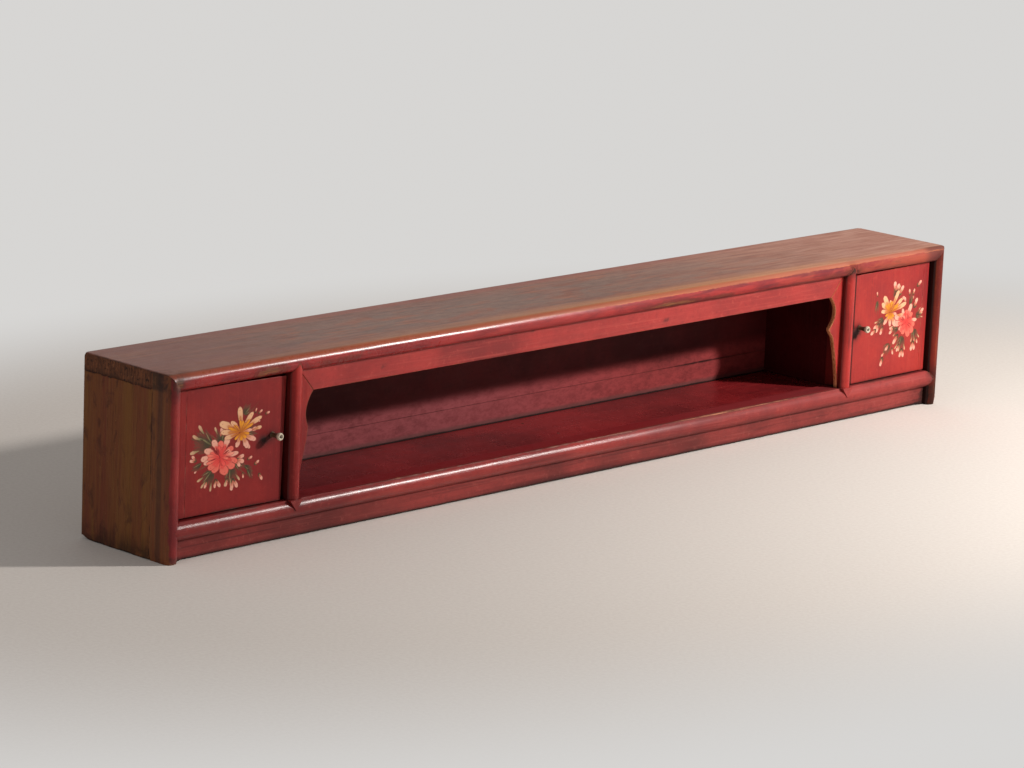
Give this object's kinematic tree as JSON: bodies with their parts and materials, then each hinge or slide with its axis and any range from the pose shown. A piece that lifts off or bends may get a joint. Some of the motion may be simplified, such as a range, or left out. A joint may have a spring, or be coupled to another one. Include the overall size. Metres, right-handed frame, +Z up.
{
  "type": "kang cabinet",
  "caption": "Long, low lacquered wooden cabinet with an open shelf in the middle and a small cupboard with a pivoted door at each end.",
  "frame": {"origin": "middle of the footprint, on the floor", "axes": "+X along the cabinet's length, +Y from the front to the back, +Z up"},
  "size_m": [1.8, 0.211, 0.288],
  "materials": {
    "front_lacquer": "worn red lacquer, satin, darker in the corners and rubbed to brown along the edges",
    "door_lacquer": "worn red lacquer, satin, painted with sprays of flowers",
    "top_lacquer": "rubbed brown lacquer over lengthwise grain, satin",
    "end_lacquer": "dark brown stain in upright streaks, dull satin",
    "inner_lacquer": "dark red lacquer, satin",
    "bare_wood": "bare aged softwood, matt",
    "knob_wood": "turned hardwood, handled smooth",
    "iron": "dark hand-worked iron, slightly rusted"
  },
  "bodies": {
    "carcass": {"left_front_post": "front_lacquer", "right_front_post": "front_lacquer", "left_stile": "front_lacquer", "right_stile": "front_lacquer", "bottom_rail": "front_lacquer", "lower_apron": "front_lacquer", "top_apron": "front_lacquer", "left_spandrel": "front_lacquer", "right_spandrel": "front_lacquer", "top_plank": "top_lacquer", "left_end_panel": "end_lacquer", "right_end_panel": "end_lacquer", "floor_board": "inner_lacquer", "upper_back_board": "inner_lacquer", "lower_back_board": "inner_lacquer", "left_divider": "inner_lacquer", "right_divider": "inner_lacquer", "left_floor_bearer": "bare_wood", "middle_floor_bearer": "bare_wood", "right_floor_bearer": "bare_wood", "left_door_stop": "bare_wood", "right_door_stop": "bare_wood", "floor_nails": "iron", "back_nails": "iron", "left_stop_nails": "iron", "right_stop_nails": "iron"},
    "left_door": {"left_door_board": "door_lacquer", "left_door_pivot_stile": "door_lacquer", "left_door_battens": "bare_wood", "left_knob": "knob_wood", "left_knob_pin": "iron", "left_knob_washer": "iron"},
    "right_door": {"right_door_board": "door_lacquer", "right_door_pivot_stile": "door_lacquer", "right_door_battens": "bare_wood", "right_knob": "knob_wood", "right_knob_pin": "iron", "right_knob_washer": "iron"}
  },
  "joints": [
    {"name": "left_door_hinge", "type": "hinge", "parent": "carcass", "child": "left_door", "pos_m": [-0.8685, -0.0815, 0.162], "axis": [0, 0, -1], "range_deg": [0, 95]},
    {"name": "right_door_hinge", "type": "hinge", "parent": "carcass", "child": "right_door", "pos_m": [0.8685, -0.0815, 0.162], "axis": [0, 0, 1], "range_deg": [0, 95]}
  ]
}
